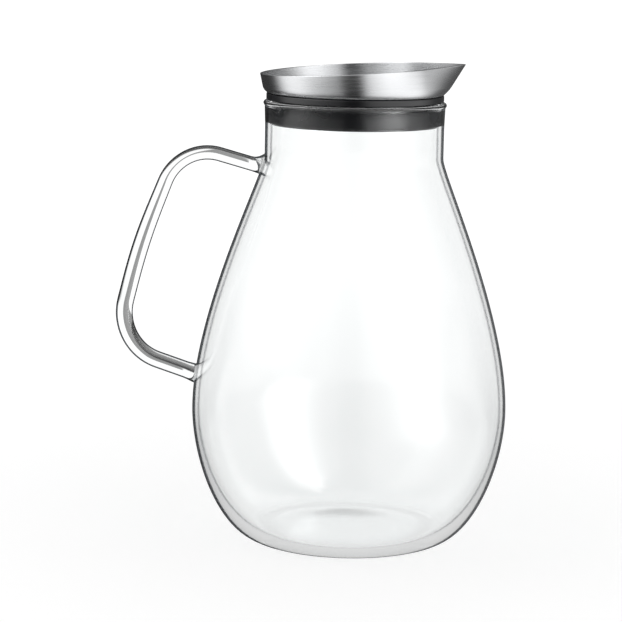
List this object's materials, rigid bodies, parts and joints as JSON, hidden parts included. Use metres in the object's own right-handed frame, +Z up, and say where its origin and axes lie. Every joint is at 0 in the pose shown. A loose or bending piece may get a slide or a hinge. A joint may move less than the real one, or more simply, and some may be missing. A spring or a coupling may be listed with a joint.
{
  "type": "glass pitcher",
  "caption": "Pear-shaped clear glass jug with a welded rod handle and a lift-off brushed steel pouring lid, whose hinged flap opens as the drink is poured.",
  "frame": {"origin": "centre of the flat underside of the glass, on the jug's axis", "axes": "+Z up along the jug's axis, +X towards the spout, -X towards the handle, and the flap's hinge along Y"},
  "size_m": [0.1976, 0.1584, 0.2403],
  "materials": {
    "glass": "clear fire-polished borosilicate glass",
    "brushed_steel": "stainless steel, brushed round the lid",
    "bright_steel": "stainless steel, bright as stamped or turned",
    "silicone": "black food-grade silicone, matt",
    "lid_plastic": "black moulded polypropylene"
  },
  "bodies": {
    "jug": {"glass_body": "glass", "glass_handle": "glass"},
    "seal": {"neck_seal": "silicone"},
    "lid": {"plug_body": "lid_plastic", "strainer": "bright_steel", "pour_collar": "brushed_steel", "collar_gasket": "silicone", "flap_frame": "lid_plastic", "clamp_screw_1": "bright_steel", "clamp_screw_2": "bright_steel", "clamp_screw_3": "bright_steel", "clamp_screw_4": "bright_steel", "hinge_pin": "bright_steel"},
    "flap": {"flap_disc": "brushed_steel", "flap_backing": "lid_plastic", "flap_seal": "silicone", "hinge_leaf": "brushed_steel", "flap_rivet_1": "bright_steel", "flap_rivet_2": "bright_steel"}
  },
  "joints": [
    {"name": "lid_lift", "type": "slide", "parent": "jug", "child": "seal", "axis": [0, 0, 1], "range_m": [0, 0.07]},
    {"name": "lid_turn", "type": "hinge", "parent": "seal", "child": "lid", "pos_m": [0, 0, 0.22], "axis": [0, 0, 1], "continuous": true},
    {"name": "flap_tilt", "type": "hinge", "parent": "lid", "child": "flap", "pos_m": [-0.0342, 0, 0.22935], "axis": [0, -1, 0], "range_deg": [0, 80]}
  ]
}
